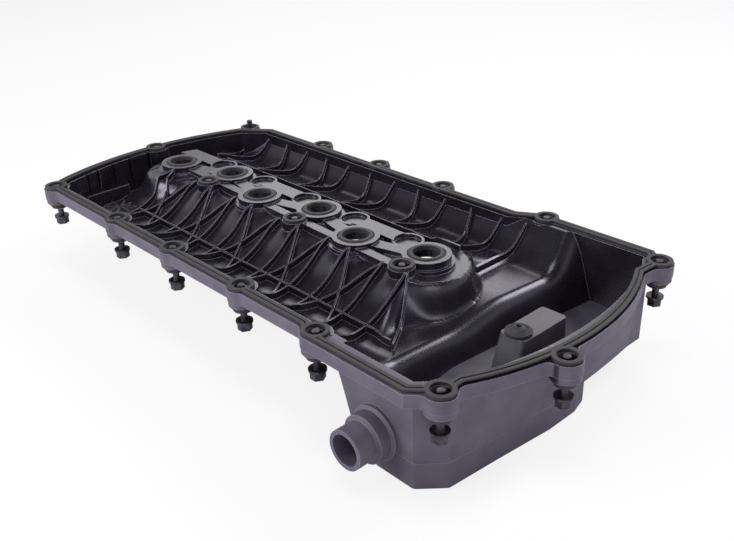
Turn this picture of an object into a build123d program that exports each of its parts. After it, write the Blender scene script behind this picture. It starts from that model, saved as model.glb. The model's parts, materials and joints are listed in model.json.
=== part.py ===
from build123d import *
import os
from math import atan2, degrees, hypot

# Valve cover of a narrow-angle six-cylinder engine, lying with its gasket side up.
# Origin: the axis of plug port 1 on the plane where the gasket meets the cylinder head.
# +X runs along the row of ports, +Y towards the far side, +Z towards the cylinder head.

# ---------------------------------------------------------------- driving dimensions, mm

# Row of spark-plug ports
port_count = 6
port_pitch = 65.0
port_stagger = 16.0          # odd ports sit at Y = 0, even ports at Y = port_stagger
port_bore_radius = 11.3      # hole in the rubber seal
seal_outer_radius = 15.6
seal_height = 4.0
seal_lip_radius = 14.2
well_radius = 13.0           # hole in the collar below the seal
collar_radius = 20.0
collar_top_depth = 1.0       # below the head plane
collar_foot_radius = 23.0
collar_foot_height = 3.2
seal_play = 0.15
seal_step = 0.8              # height of the chamfered step below the lip

# Strips and pads at the level of the collars
strip_width = 12.0
strip_depth = 3.6            # below the head plane
end_strip_width = 8.0
pad_y = 27.0
pad_length = 62.0
pad_width = 16.0
pad_corner_angle = 60.0

# Rim of the cover
gasket_height = 2.6          # rubber standing above the plastic flange
gasket_width = 6.4
gasket_inset = 1.5           # from the flange's outer edge to the rubber
gasket_ring_radius = 10.2    # rubber ring round each bolt hole
gasket_play = 0.2
flange_thickness = 4.0
skirt_height = 10.0
skirt_wall = 2.6
boss_radius = 10.8
boss_height = 17.0           # from the head plane down to the boss's lower face
boss_hole_radius = 7.0
lobe_margin = 0.5            # the flange's lobe stands out this far round a boss
outline_blend = 7.0          # concave corners where a boss meets the edge
eyelets = [(82.8, -112.0), (175.9, -111.5), (269.6, -111.0), (362.9, -117.0)]
eyelet_radius = 5.0
eyelet_hole_radius = 2.4
eyelet_depth = 6.0

# Shell
wall = 3.0
shelf_depth = 10.0           # ridge top, below the head plane
near_valley_depth = 38.0
far_valley_depth = 30.0
deep_floor_depth = 60.5
crest_blend = 10.0
crest_near_x = 399.0
crest_far_x = 352.0
valley_blend = 12.0
ridge_near_y = -15.0         # top edges of the ridge between two domes
ridge_far_y = 38.0
ridge_flank_run = 26.0       # a flank's length in plan
ridge_foot_depth = 52.0      # the ridge's tool body ends below the skin
ridge_left_x = -20.0
ridge_right_x = 332.0
ridge_blend = 8.0
dome_top_radius = 25.0
dome_foot_radius = 46.0
end_dome_top_radius = 34.0
end_dome_foot_radius = 41.0
boss_dome_top_radius = 12.0
boss_dome_foot_radius = 40.0
bolt_room = 0.6              # between a wall and the rubber round a bolt
section_start_x = -80.0      # the cover's cross-section is drawn beyond its left end
section_length = 500.0
space_top = 10.0             # tool bodies rise this far above the head plane

# Bracing ribs
rib_thickness = 1.8
rib_height = 4.5
rib_offset = 9.75            # from a port axis to its rib
rib_bay = 41.0               # length of a crossed bay
rib_near_y = -97.0
rib_far_y = 120.0
rib_tip_pitch = 35.0         # crossing ribs end this far apart
rib_tip_y = -78.0
far_rib_offset = 7.0
last_rib_x = 343.0
spine_rib_y = -60.0
spine_left_x = 12.0
spine_right_x = 366.0
far_spine_y = 48.0

# Captive bolts
inner_bolt_y = -12.0         # three of them stand beside the even ports
bolt_radius = 3.0
bolt_neck_radius = 2.7
bolt_thread_length = 12.0
bolt_tip_depth = 0.6         # tip below the head plane when the bolt hangs
bolt_flange_depth = 31.0     # seat of the hexagon head, below the head plane
bolt_flange_radius = 6.7
bolt_flange_height = 1.8
bolt_hex_height = 6.2
bolt_hex_across_flats = 10.0
bolt_tip_chamfer = 0.6
raised_bolt_lift = 7.6       # the one bolt that stands pushed up

# Rubber grommet and steel sleeve around each bolt
sleeve_bore_radius = 3.6
sleeve_outer_radius = 4.8
sleeve_top_depth = 12.9
sleeve_lip_radius = 2.9      # crimped top, which the thread can't pass
sleeve_lip_height = 0.8
grommet_collar_radius = 9.0
grommet_collar_height = 2.4
grommet_tail_radius = 7.5
grommet_bottom_depth = 22.0
grommet_play = 0.1
sleeve_foot_radius = 6.2
sleeve_foot_height = 0.8

# Separator at the deep end
lid_depth = 85.0
lid_wall = 2.6
lid_corner_radius = 5.0
lid_edge_radius = 1.5
baffle_thickness = 2.5
drain_box_length = 49.0
drain_box_width = 21.5
drain_box_x = 444.5
drain_box_y = -3.0
drain_box_depth = 9.0        # its top, below the head plane
drain_flare = 13.0
box_corner = 3.0
duct_height = 22.0           # hood over the way from the separator to the stub
baffle_play = 0.3
drain_window = (444.5, -8.0, 14.0, 40.0)     # centre and size in the deep floor
duct_window = (410.0, -103.0, 27.0, 26.0)
window_corner = 4.0
valve_y = -20.0
valve_disc_radius = 9.6
valve_disc_height = 3.0
valve_cone_radius = 5.6
valve_cone_height = 6.0
valve_hole_radius = 2.2
valve_stem_radius = 3.4
valve_stem_length = 5.0

# Vent stub
stub_x = 410.0
stub_depth = 55.0
stub_bore_radius = 11.6
stub_radius = 14.6
stub_barrel_radius = 17.8
stub_base_radius = 20.2
stub_mouth_y = -151.0
stub_wall_y = -122.0
stub_base_length = 3.0
stub_barrel_length = 9.0
stub_step = 1.0              # chamfer between two of its diameters
stub_inner_y = -112.0

# ---------------------------------------------------------------- places worked out from them

ports = [(n * port_pitch, port_stagger * (n % 2)) for n in range(port_count)]
inner_bolts = [(n * port_pitch, inner_bolt_y) for n in range(1, port_count, 2)]
near_bolts = [(-31.6, -121.0), (80.3, -119.0), (167.7, -118.0), (262.1, -118.5), (352.6, -123.0)]
end_bolts = [(459.9, -115.4), (491.7, -31.5), (463.0, 128.8)]
far_bolts = [(351.6, 137.0), (238.7, 130.0), (153.7, 130.0), (67.8, 130.5), (-38.3, 114.6)]
left_bolts = [(-59.3, 6.1)]
rim_bolts = near_bolts + end_bolts + far_bolts + left_bolts
all_bolts = rim_bolts + inner_bolts
raised_bolt = all_bolts.index(far_bolts[-1])

flange_top = -gasket_height
floor_underside = -deep_floor_depth - wall
overlap = 1.0                # how far a cutting body runs past the faces that it cuts
stub_plane = Plane(origin=(stub_x, 0, -stub_depth), x_dir=(0, 1, 0), z_dir=(1, 0, 0))
stub_axis = Axis((stub_x, 0, -stub_depth), (0, 1, 0))


def rim_sketch():
    """The flange's edge without its bolt lobes."""
    with BuildSketch() as edge:
        with BuildLine():
            Polyline((-36, -127), (338, -126), (350, -134), (446, -134), (466, -116), (466, -100))
            ThreePointArc((466, -100), (488, -30), (466, 104))
            Polyline((466, 104), (468, 128), (452, 141), (346, 141), (326, 129), (-12, 127), (-42, 104))
            ThreePointArc((-42, 104), (-64, -20), (-46, -106))
            Line((-46, -106), (-36, -127))
        make_face()
    return edge.sketch


def flange_sketch(grow=0.0):
    """The flange's edge with a lobe round every bolt, its concave corners blended."""
    with BuildSketch() as edge:
        add(rim_sketch())
        with Locations(*rim_bolts):
            Circle(boss_radius + lobe_margin)
        offset(amount=outline_blend + grow, kind=Kind.ARC)
        offset(amount=-outline_blend, kind=Kind.ARC)
    return edge.sketch


def wall_sketch(grow=0.0):
    """Plan of the space inside the walls, which bulge in round the bolts."""
    with BuildSketch() as plan:
        with BuildLine():
            Polyline((-30, -115), (376, -115), (376, -119), (441, -119), (456, -103), (460, -57),
                     (465, -8), (465, 22), (460, 41), (460, 112), (449, 130), (344, 130),
                     (324, 118), (-12, 116), (-32, 98))
            ThreePointArc((-32, 98), (-53, -20), (-36, -98))
            Line((-36, -98), (-30, -115))
        make_face()
        with Locations(*rim_bolts):
            Circle(grommet_collar_radius + bolt_room + wall, mode=Mode.SUBTRACT)
        if grow:
            offset(amount=grow, kind=Kind.ARC)
    return plan.sketch


def deep_sketch(grow=0.0):
    """Plan of the deep end: all that lies to the right of the crest."""
    with BuildSketch() as plan:
        with BuildLine():
            ThreePointArc((crest_far_x, 145), (388, -2), (crest_near_x, -145))
            Polyline((crest_near_x, -145), (520, -145), (520, 145), (crest_far_x, 145))
        make_face()
        if grow:
            offset(amount=grow, kind=Kind.ARC)
    return plan.sketch


def valley_sketch(grow=0.0):
    """Cross-section of the space between roof skin and head, near wall to far wall, as (y, z)."""
    near_floor = -near_valley_depth
    far_floor = -far_valley_depth
    with BuildSketch(Plane.YZ.offset(section_start_x)) as profile:
        with BuildLine():
            Polyline((-145, 10), (-145, 0), (-114, -7), (-84, near_floor), (-20, near_floor),
                     (40, far_floor), (100, far_floor), (122, -7), (145, 0), (145, 10),
                     close=True)
        make_face()
        below_rim = profile.vertices().filter_by(lambda corner: corner.Y < -5)
        fillet(below_rim, valley_blend)
        if grow:
            offset(amount=grow, kind=Kind.ARC)
    return profile.sketch


def dome_body(x, y, top_radius, foot_radius, grow=0.0):
    """One dome of the ridge: a blunt cone with a rounded shoulder."""
    with BuildPart() as dome:
        with BuildSketch(Plane.XZ) as section:
            with BuildLine():
                Polyline((-foot_radius, -ridge_foot_depth), (-foot_radius, -near_valley_depth),
                         (-top_radius, -shelf_depth), (top_radius, -shelf_depth),
                         (foot_radius, -near_valley_depth), (foot_radius, -ridge_foot_depth),
                         close=True)
            make_face()
            shoulders = section.vertices().group_by(Axis.Y)[-1]
            fillet(shoulders, ridge_blend)
            if grow:
                offset(amount=grow, kind=Kind.ARC)
            with Locations((-100, 0)):
                Rectangle(200, 200, mode=Mode.SUBTRACT)
        revolve(axis=Axis.Z)
    return dome.part.moved(Location((x, y, 0)))


def ridge_body(grow=0.0):
    """The ridge over the ports: a long trapezoid with a dome at each port and inner bolt."""
    low = -ridge_foot_depth
    rise = near_valley_depth - shelf_depth
    run = ridge_flank_run * (ridge_foot_depth - shelf_depth) / rise
    with BuildPart() as ridge:
        with BuildSketch(Plane.YZ.offset(ridge_left_x - grow)) as section:
            with BuildLine():
                Polyline((ridge_near_y - run, low), (ridge_near_y, -shelf_depth),
                         (ridge_far_y, -shelf_depth), (ridge_far_y + run, low), close=True)
            make_face()
            fillet(section.vertices().group_by(Axis.Y)[-1], ridge_blend)
            if grow:
                offset(amount=grow, kind=Kind.ARC)
        extrude(amount=ridge_right_x - ridge_left_x + 2 * grow)
        for number, (x, y) in enumerate(ports):
            at_end = number in (0, port_count - 1)
            top = end_dome_top_radius if at_end else dome_top_radius
            foot = end_dome_foot_radius if at_end else dome_foot_radius
            add(dome_body(x, y, top, foot, grow))
        for x, y in inner_bolts:
            add(dome_body(x, y, boss_dome_top_radius, boss_dome_foot_radius, grow))
    return ridge.part


def inner_space(grow=0.0):
    """The space under the cover's skin: grow = 0 is its inner face, grow = wall its outer one."""
    valley_face = valley_sketch(grow)
    deep_face = deep_sketch(grow)
    wall_face = wall_sketch(grow)
    ridge = ridge_body(-grow)
    floor = -deep_floor_depth - grow
    with BuildPart() as space:
        extrude(valley_face, amount=section_length, dir=(1, 0, 0))
        extrude(deep_face, amount=space_top)
        extrude(deep_face, amount=floor)
        crest = space.edges().filter_by(
            lambda edge: crest_far_x - wall < edge.center().X < crest_near_x
            and floor + wall < edge.center().Z < -overlap
            and edge.bounding_box().size.Y > overlap
        )
        fillet(crest, crest_blend - grow)
        with BuildSketch(Plane.XY.offset(space_top)):
            add(wall_face)
        extrude(amount=floor - space_top - overlap, mode=Mode.INTERSECT)
        add(ridge, mode=Mode.SUBTRACT)
    return space.part


skin_inside = inner_space()
skin_outside = inner_space(wall)


def bar_between(start, end, width):
    """A strip in plan from one point to another, with round ends."""
    run = hypot(end[0] - start[0], end[1] - start[1])
    turn = degrees(atan2(end[1] - start[1], end[0] - start[0]))
    middle = ((start[0] + end[0]) / 2, (start[1] + end[1]) / 2)
    with Locations(Location((*middle, 0), (0, 0, turn))):
        SlotCenterToCenter(run, width)


def lid_sketch(grow=0.0):
    """Outer plan of the separator lid."""
    with BuildSketch() as plan:
        with BuildLine():
            Polyline((404.5, -122), (443, -122), (459, -104.5), (463, -58), (468, -8), (468, 22),
                     (463.5, 40), (404.5, 40), close=True)
        make_face()
        fillet(plan.vertices(), lid_corner_radius)
        if grow:
            offset(amount=grow, kind=Kind.ARC)
    return plan.sketch


# ---------------------------------------------------------------- cover housing

def rib_lines():
    """Plan lines of the bracing ribs on both flanks of the ridge."""
    lines = [((spine_left_x, spine_rib_y), (spine_right_x, spine_rib_y)),
             ((spine_left_x, far_spine_y), (ridge_right_x, far_spine_y))]
    for x, _ in ports:
        near_x = x + rib_offset
        lines.append(((near_x, ridge_near_y), (near_x, rib_near_y)))
        lines.append(((near_x, ridge_near_y), (near_x + rib_tip_pitch, rib_tip_y)))
        if x < ports[-1][0]:
            bay_x = near_x + rib_bay
            lines.append(((bay_x, ridge_near_y), (near_x + rib_tip_pitch, rib_near_y)))
            lines.append(((bay_x, ridge_near_y), (near_x, rib_tip_y)))
        far_x = x - far_rib_offset
        lines.append(((far_x, far_spine_y), (far_x, rib_far_y)))
        lines.append(((far_x, far_spine_y), (far_x - rib_tip_pitch, rib_far_y)))
    lines.append(((last_rib_x, far_spine_y), (last_rib_x, rib_far_y)))
    return lines


with BuildPart() as ribs:
    with BuildSketch(Plane.XY.offset(-near_valley_depth - overlap)):
        for start, end in rib_lines():
            bar_between(start, end, rib_thickness)
    extrude(amount=near_valley_depth)
    add(skin_inside, mode=Mode.INTERSECT)
    add(skin_inside.moved(Location((0, 0, rib_height))), mode=Mode.SUBTRACT)

flange_face = flange_sketch()
skirt_void = flange_sketch(-skirt_wall)
base_end_y = stub_wall_y - stub_base_length
barrel_end_y = base_end_y - stub_step - stub_barrel_length

with BuildPart() as cover_housing:
    add(skin_outside)
    with BuildSketch(Plane.XY.offset(flange_top)):
        Rectangle(4 * section_length, section_length)
    extrude(amount=space_top + gasket_height + overlap, mode=Mode.SUBTRACT)
    with BuildSketch(Plane.XY.offset(flange_top)):
        add(flange_face)
    extrude(amount=-flange_thickness)
    with BuildSketch(Plane.XY.offset(flange_top)):
        add(flange_face)
        add(skirt_void, mode=Mode.SUBTRACT)
    extrude(amount=-skirt_height)
    add(skin_inside, mode=Mode.SUBTRACT)
    add(ribs.part)

    # strips and pads at the level of the port collars
    with BuildSketch(Plane.XY.offset(-shelf_depth - overlap)):
        for start, end in zip(ports, ports[1:]):
            bar_between(start, end, strip_width)
        for x, y in ports[::2]:
            with Locations((x, pad_y)):
                Trapezoid(pad_length, pad_width, 60)
    extrude(amount=shelf_depth + overlap - strip_depth)
    with BuildSketch(Plane.XY.offset(-shelf_depth)):
        bar_between(ports[0], left_bolts[0], end_strip_width)
    extrude(amount=shelf_depth - strip_depth)

    # collars of the ports and bosses of the bolts
    with BuildSketch(Plane.XY.offset(-shelf_depth - overlap)):
        with Locations(*ports):
            Circle(collar_foot_radius)
    extrude(amount=overlap + collar_foot_height)
    with BuildSketch(Plane.XY.offset(-shelf_depth - overlap)):
        with Locations(*ports):
            Circle(collar_radius)
    extrude(amount=shelf_depth + overlap - collar_top_depth)
    with BuildSketch(Plane.XY.offset(-boss_height)):
        with Locations(*all_bolts):
            Circle(boss_radius)
    extrude(amount=boss_height - gasket_height)
    with BuildSketch(Plane.XY.offset(flange_top)):
        with Locations(*eyelets):
            Circle(eyelet_radius)
    extrude(amount=-skirt_height)

    # holes
    with BuildSketch(Plane.XY):
        with Locations(*all_bolts):
            Circle(boss_hole_radius)
    extrude(amount=-boss_height - overlap, mode=Mode.SUBTRACT)
    with BuildSketch(Plane.XY):
        with Locations(*ports):
            Circle(well_radius)
    extrude(amount=-shelf_depth - wall - overlap, mode=Mode.SUBTRACT)
    with BuildSketch(Plane.XY):
        with Locations(*ports):
            Circle(seal_outer_radius + seal_play)
    extrude(amount=-seal_height, mode=Mode.SUBTRACT)
    with BuildSketch(Plane.XY):
        with Locations(*inner_bolts):
            Circle(gasket_ring_radius + gasket_play)
    extrude(amount=flange_top, mode=Mode.SUBTRACT)
    with BuildSketch(Plane.XY.offset(flange_top)):
        with Locations(*eyelets):
            Circle(eyelet_hole_radius)
    extrude(amount=-eyelet_depth, mode=Mode.SUBTRACT)

    # vent stub on the near wall
    with BuildSketch(stub_plane):
        with BuildLine():
            Polyline(
                (stub_wall_y + overlap, 0), (stub_wall_y + overlap, stub_base_radius),
                (base_end_y, stub_base_radius), (base_end_y - stub_step, stub_barrel_radius),
                (barrel_end_y, stub_barrel_radius), (barrel_end_y - stub_step, stub_radius),
                (stub_mouth_y, stub_radius), (stub_mouth_y, 0), close=True)
        make_face()
    revolve(axis=stub_axis)
    with BuildSketch(stub_plane):
        with BuildLine():
            Polyline(
                (stub_mouth_y - overlap, 0), (stub_mouth_y - overlap, stub_bore_radius),
                (stub_inner_y, stub_bore_radius), (stub_inner_y, 0), close=True)
        make_face()
    revolve(axis=stub_axis, mode=Mode.SUBTRACT)

    # the separator lid's place, and windows in the deep floor under the drain box and the duct
    with BuildSketch(Plane.XY.offset(floor_underside)):
        add(lid_sketch())
    extrude(amount=-stub_base_radius, mode=Mode.SUBTRACT)
    with BuildSketch(Plane.XY.offset(-deep_floor_depth + overlap)):
        for x, y, length, width in (drain_window, duct_window):
            with Locations((x, y)):
                RectangleRounded(length, width, window_corner)
    extrude(amount=-wall - 2 * overlap, mode=Mode.SUBTRACT)

cover_housing.part.label = "cover_housing"


# ---------------------------------------------------------------- rubber gasket

with BuildPart() as perimeter_gasket:
    with BuildSketch():
        add(rim_sketch())
        offset(amount=-gasket_inset, kind=Kind.ARC)
        with BuildSketch(mode=Mode.SUBTRACT):
            add(rim_sketch())
            offset(amount=-gasket_inset - gasket_width, kind=Kind.ARC)
        with Locations(*rim_bolts):
            Circle(gasket_ring_radius)
        with Locations(*rim_bolts):
            Circle(boss_hole_radius, mode=Mode.SUBTRACT)
    extrude(amount=-gasket_height)

perimeter_gasket.part.label = "perimeter_gasket"

with BuildPart() as inner_bolt_gaskets:
    with BuildSketch():
        with Locations(*inner_bolts):
            Circle(gasket_ring_radius)
            Circle(boss_hole_radius, mode=Mode.SUBTRACT)
    extrude(amount=-gasket_height)

inner_bolt_gaskets.part.label = "inner_bolt_gaskets"


def plug_seal(x, y):
    """A rubber ring with a raised lip, seated in its port's collar."""
    with BuildPart() as seal:
        with BuildSketch(Plane(origin=(x, y, 0), x_dir=(1, 0, 0), z_dir=(0, -1, 0))):
            with BuildLine():
                Polyline(
                    (port_bore_radius, -seal_height), (seal_outer_radius, -seal_height),
                    (seal_outer_radius, -collar_top_depth - seal_step),
                    (seal_lip_radius, -seal_step), (seal_lip_radius, 0), (port_bore_radius, 0),
                    close=True)
            make_face()
        revolve(axis=Axis((x, y, 0), (0, 0, 1)))
    return seal.part


# ---------------------------------------------------------------- captive bolts

def captive_bolt(x, y, lift):
    """A flanged hexagon bolt hanging head down in its boss; lift is how far it stands pushed up."""
    seat = lift - bolt_flange_depth
    tip = lift - bolt_tip_depth
    with BuildPart() as bolt:
        with BuildSketch(Plane((x, y, seat - bolt_flange_height))):
            RegularPolygon(bolt_hex_across_flats / 2, 6, major_radius=False)
        extrude(amount=-bolt_hex_height)
        with BuildSketch(Plane((x, y, seat))):
            Circle(bolt_flange_radius)
        extrude(amount=-bolt_flange_height)
        with BuildSketch(Plane((x, y, seat))):
            Circle(bolt_neck_radius)
        extrude(amount=tip - seat - bolt_thread_length)
        with BuildSketch(Plane((x, y, tip))):
            Circle(bolt_radius)
        extrude(amount=-bolt_thread_length)
        chamfer(bolt.faces().sort_by(Axis.Z)[-1].edges(), bolt_tip_chamfer)
    return bolt.part


def ring_profile_part(points, places):
    """The same revolved ring at each place, from (radius, z) points."""
    with BuildPart() as group:
        for x, y in places:
            with BuildSketch(Plane(origin=(x, y, 0), x_dir=(1, 0, 0), z_dir=(0, -1, 0))):
                with BuildLine():
                    Polyline(*points, close=True)
                make_face()
            revolve(axis=Axis((x, y, 0), (0, 0, 1)))
    return group.part


grommet_points = [
    (sleeve_outer_radius, -sleeve_top_depth), (boss_hole_radius - grommet_play, -sleeve_top_depth),
    (boss_hole_radius - grommet_play, -boss_height), (grommet_collar_radius, -boss_height),
    (grommet_collar_radius, -boss_height - grommet_collar_height),
    (grommet_tail_radius, -boss_height - grommet_collar_height),
    (grommet_tail_radius, -grommet_bottom_depth), (sleeve_outer_radius, -grommet_bottom_depth),
]
sleeve_points = [
    (sleeve_lip_radius, -sleeve_top_depth), (sleeve_outer_radius, -sleeve_top_depth),
    (sleeve_outer_radius, -grommet_bottom_depth), (sleeve_foot_radius, -grommet_bottom_depth),
    (sleeve_foot_radius, -grommet_bottom_depth - sleeve_foot_height),
    (sleeve_bore_radius, -grommet_bottom_depth - sleeve_foot_height),
    (sleeve_bore_radius, -sleeve_top_depth - sleeve_lip_height),
    (sleeve_lip_radius, -sleeve_top_depth - sleeve_lip_height),
]


# ---------------------------------------------------------------- oil separator

lid_height = lid_depth + floor_underside
lid_face = lid_sketch()
lid_void = lid_sketch(-lid_wall)

with BuildPart() as separator_lid:
    with BuildSketch(Plane.XY.offset(-lid_depth)):
        add(lid_face)
    extrude(amount=lid_height)
    with BuildSketch(Plane.XY.offset(lid_wall - lid_depth)):
        add(lid_void)
    extrude(amount=lid_height, mode=Mode.SUBTRACT)
    fillet(separator_lid.edges().group_by(Axis.Z)[0], lid_edge_radius)

separator_lid.part.label = "separator_lid"

with BuildSketch() as baffle_plan:
    add(wall_sketch(-baffle_play))
    add(deep_sketch(-baffle_play), mode=Mode.INTERSECT)
baffle_face = baffle_plan.sketch

with BuildPart() as oil_baffle:
    with BuildSketch(Plane.XY.offset(-deep_floor_depth)):
        add(baffle_face)
    extrude(amount=baffle_thickness)
    with BuildSketch(Plane.XY.offset(-deep_floor_depth)):
        with Locations((drain_box_x, drain_box_y - drain_flare / 2)):
            RectangleRounded(drain_box_width + drain_flare / 2, drain_box_length + drain_flare, box_corner)
    with BuildSketch(Plane.XY.offset(-drain_box_depth)):
        with Locations((drain_box_x, drain_box_y)):
            RectangleRounded(drain_box_width, drain_box_length, box_corner)
    loft()
    with BuildSketch(Plane.XY.offset(-deep_floor_depth)):
        with Locations((duct_window[0], duct_window[1])):
            RectangleRounded(duct_window[2] + 2 * baffle_thickness, duct_window[3] + 2 * baffle_thickness,
                             box_corner)
    extrude(amount=duct_height)
    # hollow of the drain box and of the duct
    with BuildSketch(Plane.XY.offset(-deep_floor_depth - overlap)):
        with Locations((drain_box_x, drain_box_y - drain_flare / 2)):
            RectangleRounded(drain_box_width + drain_flare / 2 - 2 * baffle_thickness,
                             drain_box_length + drain_flare - 2 * baffle_thickness, box_corner - 1)
    with BuildSketch(Plane.XY.offset(-drain_box_depth - baffle_thickness)):
        with Locations((drain_box_x, drain_box_y)):
            RectangleRounded(drain_box_width - 2 * baffle_thickness,
                             drain_box_length - 2 * baffle_thickness, box_corner - 1)
    loft(mode=Mode.SUBTRACT)
    with BuildSketch(Plane.XY.offset(-deep_floor_depth - overlap)):
        with Locations((duct_window[0], duct_window[1] - baffle_thickness)):
            RectangleRounded(duct_window[2], duct_window[3] + baffle_thickness, box_corner - 1)
    extrude(amount=duct_height - baffle_thickness + overlap, mode=Mode.SUBTRACT)
    with BuildSketch(Plane.XY.offset(-deep_floor_depth - overlap)):
        add(baffle_face)
    extrude(amount=deep_floor_depth, mode=Mode.INTERSECT)
    with BuildSketch(Plane.XY.offset(-drain_box_depth)):
        with Locations((drain_box_x, valve_y)):
            Circle(valve_stem_radius)
    extrude(amount=-baffle_thickness - overlap, mode=Mode.SUBTRACT)

oil_baffle.part.label = "oil_baffle"

with BuildPart() as drain_valve:
    with BuildSketch(Plane(origin=(drain_box_x, valve_y, -drain_box_depth), x_dir=(1, 0, 0),
                           z_dir=(0, -1, 0))):
        with BuildLine():
            Polyline(
                (valve_hole_radius, -valve_stem_length), (valve_stem_radius, -valve_stem_length),
                (valve_stem_radius, 0), (valve_disc_radius, 0),
                (valve_disc_radius, valve_disc_height), (valve_cone_radius, valve_disc_height),
                (valve_hole_radius, valve_cone_height), close=True)
        make_face()
    revolve(axis=Axis((drain_box_x, valve_y, 0), (0, 0, 1)))

drain_valve.part.label = "drain_valve"


# ---------------------------------------------------------------- files, one for each piece

pieces = {
    "cover_housing": cover_housing.part,
    "perimeter_gasket": perimeter_gasket.part,
    "inner_bolt_gaskets": inner_bolt_gaskets.part,
    "bolt_grommets": ring_profile_part(grommet_points, all_bolts),
    "bolt_sleeves": ring_profile_part(sleeve_points, all_bolts),
    "separator_lid": separator_lid.part,
    "oil_baffle": oil_baffle.part,
    "drain_valve": drain_valve.part,
}
for number, (x, y) in enumerate(ports, start=1):
    pieces[f"plug_seal_{number}"] = plug_seal(x, y)
for number, (x, y) in enumerate(all_bolts):
    lift = raised_bolt_lift if number == raised_bolt else 0.0
    pieces[f"bolt_{number + 1:02d}"] = captive_bolt(x, y, lift)

os.makedirs("parts", exist_ok=True)
for name, piece in pieces.items():
    piece.label = name
    export_step(piece, f"parts/{name}.step")
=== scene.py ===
import json
import math

import bpy
from mathutils import Matrix, Vector


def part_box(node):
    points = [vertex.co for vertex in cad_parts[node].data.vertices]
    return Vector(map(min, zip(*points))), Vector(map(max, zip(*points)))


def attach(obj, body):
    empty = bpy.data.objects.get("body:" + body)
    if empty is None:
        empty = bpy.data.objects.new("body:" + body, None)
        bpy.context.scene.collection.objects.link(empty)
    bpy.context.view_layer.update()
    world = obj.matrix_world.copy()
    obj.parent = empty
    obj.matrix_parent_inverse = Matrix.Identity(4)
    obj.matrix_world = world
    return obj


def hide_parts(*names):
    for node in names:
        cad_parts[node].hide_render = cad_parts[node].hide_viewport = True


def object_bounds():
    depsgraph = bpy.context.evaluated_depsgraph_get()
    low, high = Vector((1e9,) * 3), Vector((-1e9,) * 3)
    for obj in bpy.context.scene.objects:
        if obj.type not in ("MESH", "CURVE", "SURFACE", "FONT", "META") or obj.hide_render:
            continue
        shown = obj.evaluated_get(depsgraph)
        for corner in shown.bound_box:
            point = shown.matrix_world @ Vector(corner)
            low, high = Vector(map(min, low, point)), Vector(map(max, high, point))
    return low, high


# Engine valve cover, lying with its gasket side up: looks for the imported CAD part.
# Lengths named *_mm are real sizes in millimetres; everything handed to Blender is in metres.

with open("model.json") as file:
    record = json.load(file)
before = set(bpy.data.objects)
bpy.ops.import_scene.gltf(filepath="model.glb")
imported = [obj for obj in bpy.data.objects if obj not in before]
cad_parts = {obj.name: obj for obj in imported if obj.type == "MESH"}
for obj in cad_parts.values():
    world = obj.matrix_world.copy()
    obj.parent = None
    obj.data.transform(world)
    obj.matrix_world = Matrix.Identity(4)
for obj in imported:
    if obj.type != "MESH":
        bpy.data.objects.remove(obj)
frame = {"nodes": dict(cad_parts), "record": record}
cad_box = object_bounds()
MM = 0.001
MIX_A, MIX_B, MIX_RESULT = 6, 7, 2      # the colour sockets of a Mix node
edge_radius_mm = 0.6                    # the soft edge that a mould leaves
round_sides = 64                        # straight pieces in a full circle

# ---------------------------------------------------------------- small tools


def linear(code):
    """A colour written as sRGB hex, as the linear RGBA that shaders take."""
    channels = [int(code[n:n + 2], 16) / 255 for n in (1, 3, 5)]
    return [c / 12.92 if c <= 0.04045 else ((c + 0.055) / 1.055) ** 2.4 for c in channels] + [1.0]


def add_node(tree, kind, values=None, links=None, **settings):
    """Add a node; values go to its sockets, and links join other nodes' outputs to them."""
    node = tree.nodes.new(kind)
    for name, value in settings.items():
        setattr(node, name, value)
    for name, value in (values or {}).items():
        node.inputs[name].default_value = value
    for name, output in (links or {}).items():
        tree.links.new(output, node.inputs[name])
    return node


def new_material(name):
    """An empty node material and its tree."""
    material = bpy.data.materials.new(name)
    material.use_nodes = True
    material.node_tree.nodes.clear()
    return material, material.node_tree


def deselect_all():
    for other in bpy.context.selected_objects:
        other.select_set(False)


def start_piece(name):
    """Name the primitive that was just added, and hand it over alone and active."""
    piece = bpy.context.active_object
    piece.name = name
    piece.data.name = name
    return piece


def activate(piece):
    """Make a piece the only selected and the active one."""
    deselect_all()
    piece.select_set(True)
    bpy.context.view_layer.objects.active = piece


def apply_modifier(piece, kind, **settings):
    """Add a modifier with its settings and apply it."""
    activate(piece)
    modifier = piece.modifiers.new(kind.title(), kind)
    for name, value in settings.items():
        setattr(modifier, name, value)
    bpy.ops.object.modifier_apply(modifier=modifier.name)


def copy_of(piece, name):
    """A copy of a piece, with a mesh of its own."""
    twin = piece.copy()
    twin.data = piece.data.copy()
    bpy.context.scene.collection.objects.link(twin)
    twin.name = name
    return twin


def outward_normals(piece):
    """Merge doubles and point every face outwards."""
    activate(piece)
    bpy.ops.object.mode_set(mode="EDIT")
    bpy.ops.mesh.select_all(action="SELECT")
    bpy.ops.mesh.remove_doubles(threshold=0.001 * MM)
    bpy.ops.mesh.normals_make_consistent(inside=False)
    bpy.ops.object.mode_set(mode="OBJECT")


def working_copy(node, name):
    """A copy of a CAD node, merged and rid of its stored normals, so that it can be cut."""
    piece = copy_of(frame["nodes"][node], name)
    activate(piece)
    bpy.ops.mesh.customdata_custom_splitnormals_clear()
    outward_normals(piece)
    return piece


# ---------------------------------------------------------------- camera, floor and light

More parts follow.
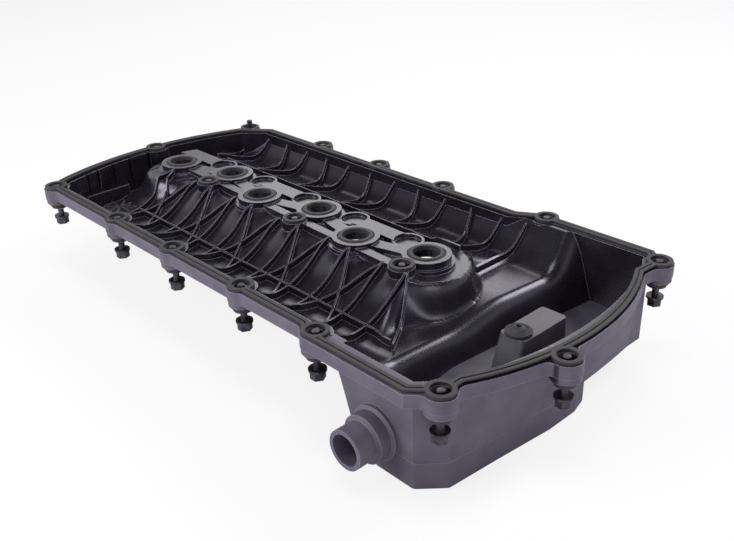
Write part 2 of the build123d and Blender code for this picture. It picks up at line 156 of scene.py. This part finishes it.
picture_width_px = 734
focal_length_px = 894.08
sensor_width_mm = 36.0
camera_place_mm = (758.78, -449.17, 308.49)
camera_azimuth = math.radians(-47.27)
camera_elevation = math.radians(27.04)
camera_roll = math.radians(-1.6)
backdrop_top = 0.50         # how steeply one looks up, as a sine, where the white backdrop ends
ceiling_edge = 0.66         # and where the dark ceiling has begun
ceiling_grey = 0.06
soft_fill = 0.30
floor_whiteness = 0.82      # share of plain white in what the camera sees of the floor
floor_size = 8.0            # metres
lamp_target = (0.2, 0.0, -0.03)
softboxes = (               # name, place in metres, width, height, watts
    ("overhead_softbox", (0.30, -0.10, 1.40), 0.7, 0.5, 7),
    ("back_left_softbox", (-0.75, 1.10, 0.85), 1.0, 0.7, 5),
    ("back_softbox", (0.75, 1.15, 1.05), 0.6, 0.6, 14),
    ("right_softbox", (1.50, -0.75, 0.80), 0.8, 0.6, 4),
    ("front_left_softbox", (-0.45, -1.60, 0.75), 0.9, 0.9, 26))


def make_camera():
    """The camera, aimed by its azimuth, elevation and roll."""
    data = bpy.data.cameras.new("camera")
    data.sensor_width = sensor_width_mm
    data.lens = sensor_width_mm * focal_length_px / picture_width_px
    data.clip_start = 0.01
    camera = bpy.data.objects.new("camera", data)
    bpy.context.scene.collection.objects.link(camera)
    forward = Vector((math.sin(camera_azimuth) * math.cos(camera_elevation),
                      math.cos(camera_azimuth) * math.cos(camera_elevation),
                      -math.sin(camera_elevation)))
    level = Vector((math.cos(camera_azimuth), -math.sin(camera_azimuth), 0))
    upright = level.cross(forward)
    right = level * math.cos(camera_roll) + upright * math.sin(camera_roll)
    up = upright * math.cos(camera_roll) - level * math.sin(camera_roll)
    camera.matrix_world = Matrix((
        (right.x, up.x, -forward.x, camera_place_mm[0] * MM),
        (right.y, up.y, -forward.y, camera_place_mm[1] * MM),
        (right.z, up.z, -forward.z, camera_place_mm[2] * MM),
        (0, 0, 0, 1)))
    bpy.context.scene.camera = camera


def make_world():
    """Surroundings that look white up to the ceiling, which is dark; they give a soft grey fill."""
    world = bpy.data.worlds.new("studio")
    world.use_nodes = True
    bpy.context.scene.world = world
    tree = world.node_tree
    tree.nodes.clear()
    path = add_node(tree, "ShaderNodeLightPath")
    seen = add_node(tree, "ShaderNodeMath", operation="MAXIMUM",
                    links={0: path.outputs["Is Camera Ray"], 1: path.outputs["Is Glossy Ray"]})
    seen = add_node(tree, "ShaderNodeMath", operation="MAXIMUM",
                    links={0: seen.outputs[0], 1: path.outputs["Is Transmission Ray"]})
    direction = add_node(tree, "ShaderNodeTexCoord")
    height = add_node(tree, "ShaderNodeSeparateXYZ", links={0: direction.outputs["Generated"]})
    ceiling = add_node(tree, "ShaderNodeMapRange", {
        "From Min": backdrop_top, "From Max": ceiling_edge, "To Min": 1.0, "To Max": ceiling_grey},
        {"Value": height.outputs["Z"]})
    soft = add_node(tree, "ShaderNodeBackground", {"Color": linear("#f2f0f5"), "Strength": soft_fill})
    white = add_node(tree, "ShaderNodeBackground", {"Color": (1, 1, 1, 1)},
                     {"Strength": ceiling.outputs[0]})
    mixed = add_node(tree, "ShaderNodeMixShader",
                     links={0: seen.outputs[0], 1: soft.outputs[0], 2: white.outputs[0]})
    add_node(tree, "ShaderNodeOutputWorld", links={"Surface": mixed.outputs[0]})


def make_floor():
    """A wide white floor under the lowest point, which keeps the object's shadow."""
    deselect_all()
    middle = (cad_box[0] + cad_box[1]) / 2
    bpy.ops.mesh.primitive_plane_add(size=floor_size, location=(0, 0, 0))
    floor = start_piece("floor")
    floor.data.transform(Matrix.Translation((middle.x, middle.y, cad_box[0].z)))
    material, tree = new_material("white_paper_floor")
    path = add_node(tree, "ShaderNodeLightPath")
    keep = add_node(tree, "ShaderNodeMath", {1: floor_whiteness}, {0: path.outputs["Is Camera Ray"]},
                    operation="MULTIPLY")
    paper = add_node(tree, "ShaderNodeBsdfDiffuse", {"Color": linear("#eceaf1")})
    white = add_node(tree, "ShaderNodeEmission", {"Color": (1, 1, 1, 1), "Strength": 1.0})
    mixed = add_node(tree, "ShaderNodeMixShader",
                     links={0: keep.outputs[0], 1: paper.outputs[0], 2: white.outputs[0]})
    add_node(tree, "ShaderNodeOutputMaterial", links={"Surface": mixed.outputs[0]})
    floor.data.materials.append(material)


def make_lights():
    """Rectangular soft lamps round the object, all aimed at its middle."""
    for name, place, width, height, watts in softboxes:
        data = bpy.data.lights.new(name, "AREA")
        data.shape = "RECTANGLE"
        data.size = width
        data.size_y = height
        data.energy = watts
        lamp = bpy.data.objects.new(name, data)
        bpy.context.scene.collection.objects.link(lamp)
        lamp.location = place
        lamp.rotation_euler = (Vector(lamp_target) - Vector(place)).to_track_quat("-Z", "Y").to_euler()


# ---------------------------------------------------------------- materials


noise_middle = (0.35, 0.65)         # between these a noise has most of its values
flow_mm = 22.0                      # size of the clouds that the melt leaves as it fills the mould
cloud_share = 14                    # a simple surface's clouds are this many grains wide
skirt_near_y, skirt_far_y = -0.1195, 0.132      # metres; past these the skirt's outside begins
wall_left_x, wall_right_x = -0.056, 0.43
turned_right, turned_down = 0.2, -0.3           # least lean of a face, as a part of its normal
painted_highlight_band_mm = 1.0                  # width of the painted highlight along the edges of ribs and rims
edge_start, edge_full = 0.97, 0.80  # how far the rounded normal has turned, as a cosine
# how strongly the painted highlight pales the edges
painted_highlight_share = 0.8


def noise_at(tree, size_mm, detail=3.0):
    """Noise over the object's own coordinates, with features of a real size."""
    place = add_node(tree, "ShaderNodeTexCoord")
    return add_node(tree, "ShaderNodeTexNoise", {"Scale": 1 / (size_mm * MM), "Detail": detail},
                    {"Vector": place.outputs["Object"]})


def ranged(tree, source, low, high):
    """A noise's useful middle, stretched to run from low to high."""
    return add_node(tree, "ShaderNodeMapRange",
                    {"From Min": noise_middle[0], "From Max": noise_middle[1],
                     "To Min": low, "To Max": high},
                    {"Value": source.outputs[0]})


def cloudy(tree, cloud, dark, light):
    """The colour output of two colours mixed by a noise."""
    factor = ranged(tree, cloud, 0, 1)
    mixed = add_node(tree, "ShaderNodeMix", {MIX_A: linear(dark), MIX_B: linear(light)},
                     {0: factor.outputs[0]}, data_type="RGBA")
    return mixed.outputs[MIX_RESULT]


def moulded_nylon():
    """Glass-filled nylon, injection moulded: a polished core side that gives soft gloss, and a
    spark-eroded outside that is dull and clearly paler; that paleness is partly the dull finish and partly
    painted light, standing in for the lamps on the outer walls."""
    material, tree = new_material("glass_filled_nylon_moulded")
    grain = noise_at(tree, 0.9)
    flow = noise_at(tree, flow_mm)
    place = add_node(tree, "ShaderNodeTexCoord")
    point = add_node(tree, "ShaderNodeSeparateXYZ", links={0: place.outputs["Object"]})
    facing = add_node(tree, "ShaderNodeNewGeometry")
    normal = add_node(tree, "ShaderNodeSeparateXYZ", links={0: facing.outputs["Normal"]})

    # a face is outside where it lies past the skirt, looks down, or looks right near the right end
    tests = [add_node(tree, "ShaderNodeMath", {1: limit}, {0: value}, operation=side)
             for value, side, limit in (
                 (normal.outputs["X"], "GREATER_THAN", turned_right),
                 (point.outputs["X"], "GREATER_THAN", wall_right_x),
                 (point.outputs["Y"], "LESS_THAN", skirt_near_y),
                 (point.outputs["Y"], "GREATER_THAN", skirt_far_y),
                 (point.outputs["X"], "LESS_THAN", wall_left_x),
                 (normal.outputs["Z"], "LESS_THAN", turned_down))]
    outside = tests[0]
    for test, joined in zip(tests[1:], ("MULTIPLY", "MAXIMUM", "MAXIMUM", "MAXIMUM", "MAXIMUM")):
        outside = add_node(tree, "ShaderNodeMath", links={0: outside.outputs[0], 1: test.outputs[0]},
                           operation=joined)
    core_colour = cloudy(tree, flow, "#141218", "#1e1b23")
    # painted light: the outside colour is partly the dull finish's own tone and partly raised to stand in
    # for the lamps on the outer walls
    dull_tone_with_painted_light = cloudy(tree, flow, "#4e4a55", "#5b5762")
    colour = add_node(tree, "ShaderNodeMix", data_type="RGBA", links={
        0: outside.outputs[0], MIX_A: core_colour, MIX_B: dull_tone_with_painted_light})
    gloss = ranged(tree, grain, 0.22, 0.30)
    dull = ranged(tree, grain, 0.50, 0.60)
    rough = add_node(tree, "ShaderNodeMix", links={
        0: outside.outputs[0], 2: gloss.outputs[0], 3: dull.outputs[0]})
    # painted highlight: ribs and rims end in fine edges, and there the colour is mixed towards a pale
    # lilac grey, so they show as bright lines as if catching the light
    soft = add_node(tree, "ShaderNodeBevel", {"Radius": painted_highlight_band_mm * MM}, samples=6)
    along = add_node(tree, "ShaderNodeVectorMath", operation="DOT_PRODUCT",
                     links={0: soft.outputs[0], 1: facing.outputs["Normal"]})
    edge = add_node(tree, "ShaderNodeMapRange",
                    {"From Min": edge_start, "From Max": edge_full, "To Min": 0.0, "To Max": painted_highlight_share},
                    {"Value": along.outputs["Value"]})
    # the pale colour of the painted edge highlight
    highlight_painted = add_node(tree, "ShaderNodeMix", {MIX_B: linear("#9a94a8")},
                     {0: edge.outputs[0], MIX_A: colour.outputs[MIX_RESULT]}, data_type="RGBA")
    relief = add_node(tree, "ShaderNodeMix", {2: 0.05, 3: 0.35}, {0: outside.outputs[0]})
    rounded = add_node(tree, "ShaderNodeBevel", {"Radius": edge_radius_mm * MM}, samples=4)
    bump = add_node(tree, "ShaderNodeBump", {"Distance": 0.05 * MM}, {
        "Height": grain.outputs[0], "Strength": relief.outputs[0], "Normal": rounded.outputs[0]})
    shader = add_node(tree, "ShaderNodeBsdfPrincipled",
                      {"IOR": 1.53, "Specular Tint": linear("#f0ebff")}, {
        "Base Color": highlight_painted.outputs[MIX_RESULT], "Roughness": rough.outputs[0],
        "Normal": bump.outputs[0]})
    add_node(tree, "ShaderNodeOutputMaterial", links={"Surface": shader.outputs[0]})
    return material


def simple_surface(name, dark, light, roughness, grain_mm, bump_mm, ior=1.5, metallic=0.0):
    """A surface whose colour and roughness vary with a grain of a real size."""
    material, tree = new_material(name)
    grain = noise_at(tree, grain_mm)
    cloud = noise_at(tree, grain_mm * cloud_share)
    colour = cloudy(tree, cloud, dark, light)
    rounded = add_node(tree, "ShaderNodeBevel", {"Radius": edge_radius_mm * MM}, samples=4)
    bump = add_node(tree, "ShaderNodeBump", {"Strength": 0.4, "Distance": bump_mm * MM},
                    {"Height": grain.outputs[0], "Normal": rounded.outputs[0]})
    shader = add_node(tree, "ShaderNodeBsdfPrincipled", {"Metallic": metallic, "IOR": ior}, {
        "Base Color": colour,
        "Roughness": ranged(tree, grain, *roughness).outputs[0],
        "Normal": bump.outputs[0]})
    add_node(tree, "ShaderNodeOutputMaterial", links={"Surface": shader.outputs[0]})
    return material


# ---------------------------------------------------------------- the moulded skin's form, mm

port_pitch, port_stagger = 65.0, 16.0
ports = [(n * port_pitch, port_stagger * (n % 2)) for n in range(6)]
inner_bolt_y = -12.0
inner_bolts = [(n * port_pitch, inner_bolt_y) for n in (1, 3, 5)]
bolt_count = 17
same_place_reach = 5            # two centres nearer than this in plan are one bolt's
ridge_top, near_floor, far_floor, deep_floor = -10.0, -38.0, -30.0, -60.5
rim_depth = 7.0
near_wall = (-114.0, -84.0)     # Y of the head and the foot of each valley wall
far_wall = (122.0, 100.0)
near_flank = (-20.0, -54.0)     # Y of the head and the foot of each flank of the ridge
far_flank = (46.0, 88.0)
near_fillet, far_fillet = 14.0, 12.0            # how far each valley's foot is rounded
ridge_ends = (-20.0, 332.0)
ridge_end_run = 14.0            # plan length of the slope at each end of the ridge
ridge_rounding, ridge_foot_rounding = 8.0, 16.0
end_dome = (37.0, 45.0)         # radius of a dome's top and foot: at the end ports,
port_dome = (25.0, 44.0)        # at the other ports,
bolt_dome = (12.0, 31.0)        # and at the inner bolts
dome_rounding = 9.0
crest_ends = (377.0, 395.0)     # X where the roof drops to the deep end, at the near and far walls
crest_walls = (-119.0, 130.0)   # Y of those walls
crest_bow, crest_middle_y, crest_half_length = 2.5, 5.0, 125.0
crest_shoulder = 12.0           # height over the near floor at which the drop crosses the crest line
crest_slope, crest_rounding = 3.0, 32.0
deep_rounding = 6.0
wall_thickness = 3.0
steepest_share = 2.5            # a steep wall is at most this many thicknesses deep
space_box = (-84.0, -146.0, 496.0, 146.0)       # left, near, right and far
space_top = 10.0
clear_of_face = 0.1             # metres; a lift past every face, levelled straight after
face_step, underside_step = 1.7, 3.0

rib_width, rib_height = 1.5, 5.5
near_rib_ends, far_rib_ends = (-15, -97), (48, 120)     # Y at the ridge and at the outer wall
brace_foot_y = -76
near_rib_shift, far_rib_shift = 9.75, -7        # X of a rib beside its port
rib_bay, far_brace_run = 38, -35
long_ribs = [((12, -60), (361, -60)), ((12, 48), (332, 48))]
last_near_rib_foot, last_far_rib_x = (366, -63), 343

foot_bulge_x, head_bulge_x = 464, 479           # reach of the right-hand wall at its foot and head
rim_boss_radius = 12.6
far_wall_cut_x, far_wall_y, far_wall_width, far_wall_foot = 335, 135, 26, -17.2
skin_head = -2.6
top_clearance = 1
sunk = 1                        # how deep an added form stands in what carries it
web_top = -3.6                  # the webs and pads between the port collars
port_web_width, end_web_width = 12, 8
collar_radius, collar_top = 23, -6.8
ring_radius, ring_top = 20, -1.0
port_bore_radius, port_bore_floor = 13, -16
seal_seat_radius, seal_seat_floor = 15.75, -4
bolt_boss_radius, bolt_boss_foot = 10.8, -17
bolt_bore_radius, bolt_bore_floor = 7, -18
pad_corners = ((-31, 19), (31, 19), (26, 35), (-26, 35))        # X from the port, Y
pocket_y, pocket_radius, pocket_rim_radius = 28.5, 11.5, 13.5
pocket_floor, pocket_rim_top, pocket_rim_height = -7.6, -4.4, 6
low_wall, low_wall_width, low_wall_top = ((-33, -91), (-34, -45)), 2.0, -22.0
round_pad_middle, round_pad_radius, round_pad_top = (-16.0, -67.0), 18, -35.8
ray_count, ray_length, ray_width, ray_top = 8, 16, 1.4, -34.2
housing_smooth_angle = math.radians(24)

wall_corners = ((-30, -115), (376, -115), (376, -119), (441, -119))
far_wall_corners = ((449, 130), (344, 130), (324, 118), (-12, 116))
gasket_lobe_radius = 10.3
gasket_bands = (                # distances from the rim's edge, then foot and head
    (1.2, 3.1, -2.8, -1.3),
    (6.3, 8.2, -2.8, -1.3),
    (4.1, 5.3, -1.2, 1))
rubber_smooth_angle = math.radians(35)
valve_seat_depth = 6.0


def smooth_max(a, b, blend):
    """The larger of two heights, with a fillet where they cross."""
    near = max(blend - abs(a - b), 0.0) / blend
    return max(a, b) + near * near * blend / 4


def smooth_min(a, b, blend):
    """The smaller of two heights, with a round where they cross."""
    return -smooth_max(-a, -b, blend)


def slope_between(value, ends, heights):
    """Height on a straight slope that goes on past both of its ends."""
    return heights[0] + (value - ends[0]) / (ends[1] - ends[0]) * (heights[1] - heights[0])


def dome(x, y, centre, top_radius, foot_radius):
    """Height of a blunt cone that rises to the ridge round a port or a bolt."""
    radius = math.hypot(x - centre[0], y - centre[1])
    side = slope_between(radius, (top_radius, foot_radius), (ridge_top, near_floor))
    return smooth_min(side, ridge_top, dome_rounding)


def skin_height(x, y):
    """Height of the skin's inner face at a place in plan."""
    near = smooth_max(near_floor, slope_between(y, near_wall, (-rim_depth, near_floor)), near_fillet)
    far = smooth_max(far_floor, slope_between(y, far_wall, (-rim_depth, far_floor)), far_fillet)
    share = min(max((y - near_flank[0]) / (far_flank[0] - near_flank[0]), 0.0), 1.0)
    height = near + (far - near) * share * share * (3 - 2 * share)
    flanks = min(slope_between(y, near_flank, (ridge_top, near_floor)),
                 slope_between(y, far_flank, (ridge_top, far_floor)))
    left_end, right_end = ridge_ends
    ends = min(slope_between(x, (left_end, left_end - ridge_end_run), (ridge_top, near_floor)),
               slope_between(x, (right_end, right_end + ridge_end_run), (ridge_top, near_floor)))
    ridge = smooth_min(smooth_min(flanks, ends, ridge_rounding), ridge_top, ridge_rounding)
    height = smooth_max(height, ridge, ridge_foot_rounding)
    for port in ports:
        size = end_dome if port in (ports[0], ports[-1]) else port_dome
        height = smooth_max(height, dome(x, y, port, *size), dome_rounding)
    for bolt in inner_bolts:
        height = smooth_max(height, dome(x, y, bolt, *bolt_dome), dome_rounding)
    crest = slope_between(y, crest_walls, crest_ends)
    crest -= crest_bow * (1 - ((y - crest_middle_y) / crest_half_length) ** 2)
    drop = near_floor + crest_shoulder - (x - crest) * crest_slope
    return smooth_max(smooth_min(height, drop, crest_rounding), deep_floor, deep_rounding)


def skin_underside(x, y):
    """Height of the skin's outer face: the wall's thickness away, square to the inner one."""
    height = skin_height(x, y)
    rise_x = skin_height(x + 1, y) - height
    rise_y = skin_height(x, y + 1) - height
    return height - wall_thickness * min(math.sqrt(1 + rise_x ** 2 + rise_y ** 2), steepest_share)


def space_above(name, height, step):
    """A solid whose lower face follows a height in plan, and whose top is flat."""
    deselect_all()
    left, near, right, far = space_box
    columns = round((right - left) / step)
    rows = round((far - near) / step)
    bpy.ops.mesh.primitive_grid_add(x_subdivisions=columns, y_subdivisions=rows, size=1.0)
    solid = start_piece(name)
    for vertex in solid.data.vertices:
        x = left + (vertex.co.x + 0.5) * (right - left)
        y = near + (vertex.co.y + 0.5) * (far - near)
        vertex.co = (x * MM, y * MM, height(x, y) * MM)
    bpy.ops.object.mode_set(mode="EDIT")
    bpy.ops.mesh.select_all(action="SELECT")
    bpy.ops.mesh.extrude_region_move(TRANSFORM_OT_translate={"value": (0, 0, clear_of_face)})
    bpy.ops.object.mode_set(mode="OBJECT")
    for vertex in solid.data.vertices:
        if vertex.select:
            vertex.co.z = space_top * MM
    outward_normals(solid)
    return solid


def prism(name, outline, low, high, high_outline=None):
    """A solid that stands on a drawn outline; its head may follow another one."""
    deselect_all()
    bpy.ops.mesh.primitive_circle_add(vertices=len(outline), radius=1.0, fill_type="NGON")
    solid = start_piece(name)
    for vertex, (x, y) in zip(solid.data.vertices, outline):
        vertex.co = (x * MM, y * MM, low * MM)
    bpy.ops.object.mode_set(mode="EDIT")
    bpy.ops.mesh.select_all(action="SELECT")
    bpy.ops.mesh.extrude_region_move(TRANSFORM_OT_translate={"value": (0, 0, (high - low) * MM)})
    bpy.ops.object.mode_set(mode="OBJECT")
    head = [vertex for vertex in solid.data.vertices if vertex.co.z > (low + high) / 2 * MM]
    for vertex in head:
        if high_outline:
            nearest = min(range(len(outline)), key=lambda n: math.dist(
                (vertex.co.x / MM, vertex.co.y / MM), outline[n]))
            vertex.co.x, vertex.co.y = (value * MM for value in high_outline[nearest])
    outward_normals(solid)
    return solid


def disc(x, y, radius, low, high):
    """A round solid about a vertical axis."""
    deselect_all()
    bpy.ops.mesh.primitive_cylinder_add(vertices=round_sides, radius=radius * MM, depth=(high - low) * MM,
                                        location=(x * MM, y * MM, (low + high) / 2 * MM))
    solid = start_piece("disc")
    bpy.ops.object.transform_apply(location=True, rotation=True, scale=True)
    return solid


def bar(start, end, width, low, high):
    """An upright plate between two places in plan."""
    run = math.dist(start, end)
    aside = ((start[1] - end[1]) / run * width / 2, (end[0] - start[0]) / run * width / 2)
    corners = [(start[0] - aside[0], start[1] - aside[1]), (end[0] - aside[0], end[1] - aside[1]),
               (end[0] + aside[0], end[1] + aside[1]), (start[0] + aside[0], start[1] + aside[1])]
    return prism("bar", corners, low, high)


def combine(piece, others, operation):
    """Cut, keep or add what the others hold, and take the others away."""
    for other in others:
        apply_modifier(piece, "BOOLEAN", object=other, operation=operation, solver="MANIFOLD")
        mesh = other.data
        bpy.data.objects.remove(other)
        bpy.data.meshes.remove(mesh)


def arc(start, through, end, count):
    """Places on the circle through three places, from the first to the last."""
    (ax, ay), (bx, by), (cx, cy) = start, through, end
    scale = 2 * (ax * (by - cy) + bx * (cy - ay) + cx * (ay - by))
    a, b, c = ax**2 + ay**2, bx**2 + by**2, cx**2 + cy**2
    middle_x = (a * (by - cy) + b * (cy - ay) + c * (ay - by)) / scale
    middle_y = (a * (cx - bx) + b * (ax - cx) + c * (bx - ax)) / scale
    radius = math.dist((middle_x, middle_y), start)
    first = math.atan2(ay - middle_y, ax - middle_x)
    last = math.atan2(cy - middle_y, cx - middle_x)
    turn = (last - first + math.pi) % (2 * math.pi) - math.pi
    return [(middle_x + radius * math.cos(first + turn * n / count),
             middle_y + radius * math.sin(first + turn * n / count)) for n in range(count + 1)]


def wall_outline(bulge_x):
    """Inner edge of the side walls; the right-hand one bulges out to this X."""
    right = arc((456, -103), (bulge_x, -10), (458, 112), 60)
    left = arc((-32, 98), (-53, -20), (-36, -98), 60)
    return [*wall_corners, *right, *far_wall_corners, *left]


def grown(outline, amount):
    """The outline moved outwards, for one that runs anticlockwise."""
    moved = []
    for before, here, after in zip(outline[-1:] + outline[:-1], outline, outline[1:] + outline[:1]):
        first = Vector((here[1] - before[1], before[0] - here[0])).normalized()
        second = Vector((after[1] - here[1], here[0] - after[0])).normalized()
        aside = (first + second) / (1 + first.dot(second))
        moved.append((here[0] + aside.x * amount, here[1] + aside.y * amount))
    return moved


def middle_of(node):
    """Centre of a CAD node in plan, mm."""
    low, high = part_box(node)
    return ((low[0] + high[0]) / 2 / MM, (low[1] + high[1]) / 2 / MM)


def bolt_places():
    """Centres of all the bolts in plan, mm."""
    return [middle_of(f"bolt_{n:02d}") for n in range(1, bolt_count + 1)]


def rib_lines():
    """Plan lines of the bracing ribs on both flanks of the ridge."""
    near_head, near_foot = near_rib_ends
    far_head, far_foot = far_rib_ends
    lines = list(long_ribs)
    for x, _ in ports:
        near_x = x + near_rib_shift
        lines.append(((near_x, near_head), (near_x, near_foot)))
        if x < ports[-1][0]:
            bay_x = near_x + rib_bay
            lines += [((bay_x, near_head), (bay_x, near_foot)),
                      ((near_x, near_head), (bay_x, brace_foot_y)),
                      ((bay_x, near_head), (near_x, brace_foot_y))]
        else:
            lines.append(((near_x, near_head), last_near_rib_foot))
        far_x = x + far_rib_shift
        lines += [((far_x, far_head), (far_x, far_foot)),
                  ((far_x, far_head), (far_x + far_brace_run, far_foot))]
    lines.append(((last_far_rib_x, far_head), (last_far_rib_x, far_foot)))
    return lines


def left_end_details():
    """A low wall and a ribbed round pad on the floor of the left end."""
    centre_x, centre_y = round_pad_middle
    foot = near_floor - sunk
    rays = [math.radians(n * 360 / ray_count) for n in range(ray_count)]
    tips = [(centre_x + ray_length * math.cos(ray), centre_y + ray_length * math.sin(ray)) for ray in rays]
    return [bar(*low_wall, low_wall_width, foot, low_wall_top),
            disc(centre_x, centre_y, round_pad_radius, foot, round_pad_top),
            *(bar(round_pad_middle, tip, ray_width, foot, ray_top) for tip in tips)]


def make_housing():
    """The moulded cover: the CAD shell's rim, walls and stub with the true skin inside them."""
    rim_bolts = [place for place in bolt_places()
                 if min(math.dist(place, bolt) for bolt in inner_bolts) > same_place_reach]
    foot, head = wall_outline(foot_bulge_x), wall_outline(head_bulge_x)
    underside = deep_floor - wall_thickness

    housing = working_copy("cover_housing", "moulded_housing")
    clearing = prism("clearing", foot, underside, space_top, head)
    bosses = [disc(x, y, rim_boss_radius, underside - 1, space_top + 1) for x, y in rim_bolts]
    combine(clearing, bosses, "DIFFERENCE")
    inside = copy_of(clearing, "inside")
    # the far wall reaches down to the deep floor only to the right of the crest
    short_wall = bar((far_wall_cut_x, far_wall_y), (crest_ends[1] - 1, far_wall_y), far_wall_width,
                     underside - 2, far_wall_foot)
    combine(housing, [clearing, short_wall], "DIFFERENCE")

    face = space_above("skin_face", skin_height, face_step)
    lifted = copy_of(face, "lifted")
    lifted.data.transform(Matrix.Translation((0, 0, rib_height * MM)))
    ribs = [bar(start, end, rib_width, near_floor - sunk, 0) for start, end in rib_lines()]
    layer = copy_of(face, "layer")
    combine(layer, [lifted], "DIFFERENCE")
    rib_work = ribs[0]
    combine(rib_work, ribs[1:], "UNION")
    combine(rib_work, [layer], "INTERSECT")

    outer = prism("outer", grown(foot, wall_thickness), underside, skin_head, grown(head, wall_thickness))
    combine(outer, [space_above("underside", skin_underside, underside_step)], "INTERSECT")
    combine(inside, [face], "INTERSECT")
    combine(outer, [inside], "DIFFERENCE")
    combine(housing, [outer, rib_work], "UNION")
    webs = zip(ports, ports[1:])
    additions = [bar(start, end, port_web_width, ridge_top - sunk, web_top) for start, end in webs]
    additions.append(bar(ports[0], middle_of("bolt_17"), end_web_width, ridge_top, web_top))
    additions += [disc(x, y, collar_radius, ridge_top - sunk, collar_top) for x, y in ports]
    additions += [disc(x, y, ring_radius, ridge_top - sunk, ring_top) for x, y in ports]
    additions += [disc(x, y, bolt_boss_radius, bolt_boss_foot, skin_head) for x, y in inner_bolts]
    for x, _ in ports[::2]:
        corners = [(x + corner_x, corner_y) for corner_x, corner_y in pad_corners]
        additions.append(prism("pad", corners, ridge_top - sunk, web_top))
    pockets = [(x + port_pitch / 2, pocket_y) for x, _ in ports[:-1]]
    additions += [disc(x, y, pocket_rim_radius, ridge_top - pocket_rim_height, pocket_rim_top)
                  for x, y in pockets]
    additions += left_end_details()
    combine(housing, additions, "UNION")
    holes = [disc(x, y, bolt_bore_radius, bolt_bore_floor, top_clearance) for x, y in inner_bolts]
    holes += [disc(x, y, port_bore_radius, port_bore_floor, top_clearance) for x, y in ports]
    holes += [disc(x, y, seal_seat_radius, seal_seat_floor, top_clearance) for x, y in ports]
    holes += [disc(x, y, pocket_radius, pocket_floor, top_clearance) for x, y in pockets]
    combine(housing, holes, "DIFFERENCE")
    activate(housing)
    bpy.ops.object.shade_smooth_by_angle(angle=housing_smooth_angle)
    return housing


def rim_outline():
    """The flange's edge without its bolt lobes."""
    return [(-36, -127), (338, -126), (350, -134), (446, -134), (466, -116),
            *arc((466, -100), (488, -30), (466, 104), 60), (468, 128), (452, 141), (346, 141),
            (326, 129), (-12, 127), *arc((-42, 104), (-64, -20), (-46, -106), 60)]


def make_gasket():
    """The rubber band round the rim: a lip on a narrower web, with a groove along its crown."""
    gasket = working_copy("perimeter_gasket", "lipped_gasket")
    for outer, inner, low, high in gasket_bands:
        band = prism("band", grown(rim_outline(), -outer), low, high)
        taken = [prism("band_inside", grown(rim_outline(), -inner), low - 1, high + 1)]
        taken += [disc(x, y, gasket_lobe_radius, low - 1, high + 1) for x, y in bolt_places()]
        combine(band, taken, "DIFFERENCE")
        combine(gasket, [band], "DIFFERENCE")
    activate(gasket)
    bpy.ops.object.shade_smooth_by_angle(angle=rubber_smooth_angle)
    return gasket


def turned(name, place, profile):
    """A turned ring: its closed section, as radius and height, spun about an upright axis."""
    deselect_all()
    bpy.ops.mesh.primitive_circle_add(vertices=len(profile), radius=1.0)
    ring = start_piece(name)
    for vertex, (radius, height) in zip(ring.data.vertices, profile):
        vertex.co = ((place[0] + radius) * MM, place[1] * MM, height * MM)
    bpy.ops.object.mode_set(mode="EDIT")
    bpy.ops.mesh.select_all(action="SELECT")
    bpy.ops.mesh.spin(steps=round_sides, angle=2 * math.pi, center=(place[0] * MM, place[1] * MM, 0),
                      axis=(0, 0, 1))
    bpy.ops.object.mode_set(mode="OBJECT")
    outward_normals(ring)
    activate(ring)
    bpy.ops.object.shade_smooth_by_angle(angle=rubber_smooth_angle)
    return ring


def make_drain_valve():
    """The one-way valve: a holed cone inside two beads, on a stem that buttons into the box."""
    low, high = (corner.z / MM for corner in map(Vector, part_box("drain_valve")))
    seat = high - valve_seat_depth
    section = [(1.9, low), (1.9, high - 0.4), (2.4, high), (3.1, high - 0.2), (5.4, high - 2.4),
               (6.0, high - 3.4), (6.6, high - 3.4), (7.0, high - 2.9), (7.6, high - 2.9),
               (8.0, high - 3.6), (8.6, high - 3.6), (9.0, high - 3.2), (9.6, high - 3.6),
               (9.6, seat + 0.4), (9.2, seat), (3.4, seat), (3.4, low)]
    return turned("beaded_valve", middle_of("drain_valve"), section)


def stand_in(piece, node, body, material):
    """Let a piece stand for a CAD node, on its body and in its finish."""
    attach(piece, body)
    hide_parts(node)
    piece.data.materials.clear()
    piece.data.materials.append(material)


make_camera()
make_world()
make_floor()
make_lights()

nylon = moulded_nylon()
# natural-black nylon of the separator: the same plastic with a dull, dry face
baffle_nylon = simple_surface("glass_filled_nylon_dull", "#37343d", "#45424c",
                              roughness=(0.36, 0.48), grain_mm=0.9, bump_mm=0.05, ior=1.53)
# acrylate rubber, moulded: nearly black with a soft dull sheen
rubber = simple_surface("acrylate_rubber_moulded", "#232127", "#2f2c34",
                        roughness=(0.55, 0.7), grain_mm=0.7, bump_mm=0.04)
# phosphated and oiled steel: dark grey metal with a fine crystal grain
phosphate = simple_surface("phosphated_steel", "#3a383d", "#57545b",
                           roughness=(0.38, 0.5), grain_mm=0.4, bump_mm=0.03, metallic=1.0)
# zinc-plated steel sleeve, drawn from tube
zinc = simple_surface("zinc_plated_steel", "#8d8b91", "#a5a3a8",
                      roughness=(0.3, 0.42), grain_mm=0.5, bump_mm=0.02, metallic=1.0)

by_slot = {
    "black_nylon": nylon,
    "baffle_nylon": baffle_nylon,
    "gasket_rubber": rubber,
    "grommet_rubber": rubber,
    "sleeve_steel": zinc,
    "bolt_steel": phosphate,
}
slot_of = {row["node"]: row["material_slot"] for row in frame["record"]["subparts"]}
for name, node in frame["nodes"].items():
    node.data.materials.clear()
    node.data.materials.append(by_slot[slot_of[name]])

stand_in(make_housing(), "cover_housing", "cover", nylon)
stand_in(make_gasket(), "perimeter_gasket", "cover", rubber)
stand_in(make_drain_valve(), "drain_valve", "cover", rubber)

bpy.context.scene.view_settings.view_transform = "Standard"
